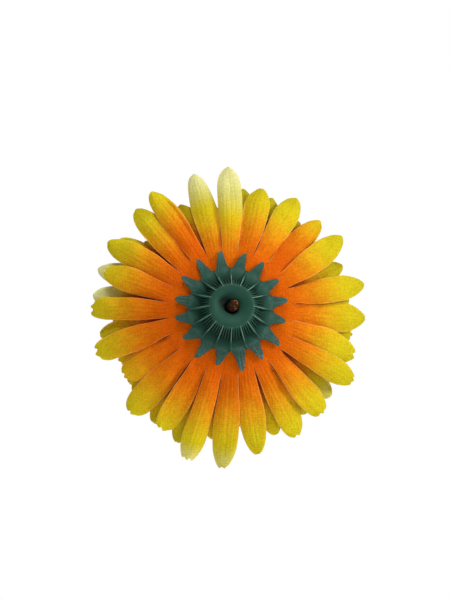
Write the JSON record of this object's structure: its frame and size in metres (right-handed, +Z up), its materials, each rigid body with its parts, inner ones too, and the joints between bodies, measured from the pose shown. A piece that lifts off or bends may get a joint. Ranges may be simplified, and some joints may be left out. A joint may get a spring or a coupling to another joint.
{
  "type": "artificial gerbera flower head",
  "caption": "Artificial gerbera daisy head for a hair clip: layered fabric petals threaded on the peg of a brown centre and held by a green ribbed calyx.",
  "frame": {"origin": "centre of the flat ring land on the back of the calyx, where a clip is glued", "axes": "+Y out of the flower's back along the peg, -Y out of its face, +Z up, +X to the left as seen from the back"},
  "size_m": [0.1001, 0.025, 0.113],
  "materials": {
    "calyx_plastic": "moulded polyethylene, dull green, satin",
    "petal_fabric_back": "heat-pressed polyester cloth, printed orange at the root to yellow at the tip",
    "petal_fabric_middle": "heat-pressed polyester cloth, printed orange at the root to yellow at the tip",
    "petal_fabric_front": "heat-pressed polyester cloth, printed orange at the root to yellow at the tip",
    "floret_fabric": "heat-pressed polyester cloth, orange",
    "centre_plastic": "moulded polyethylene, brown, satin"
  },
  "bodies": {
    "core": {"calyx": "calyx_plastic", "centre_button": "centre_plastic"},
    "back_layer": {"back_petals": "petal_fabric_back"},
    "middle_layer": {"middle_petals": "petal_fabric_middle"},
    "front_layer": {"front_petals": "petal_fabric_front"},
    "floret_ring": {"inner_florets": "floret_fabric"}
  },
  "joints": [
    {"name": "back_layer_turn", "type": "hinge", "parent": "core", "child": "back_layer", "pos_m": [0, 0, 0], "axis": [0, 1, 0], "continuous": true},
    {"name": "middle_layer_turn", "type": "hinge", "parent": "core", "child": "middle_layer", "pos_m": [0, 0, 0], "axis": [0, 1, 0], "continuous": true},
    {"name": "front_layer_turn", "type": "hinge", "parent": "core", "child": "front_layer", "pos_m": [0, 0, 0], "axis": [0, 1, 0], "continuous": true},
    {"name": "floret_ring_turn", "type": "hinge", "parent": "core", "child": "floret_ring", "pos_m": [0, 0, 0], "axis": [0, 1, 0], "continuous": true}
  ]
}
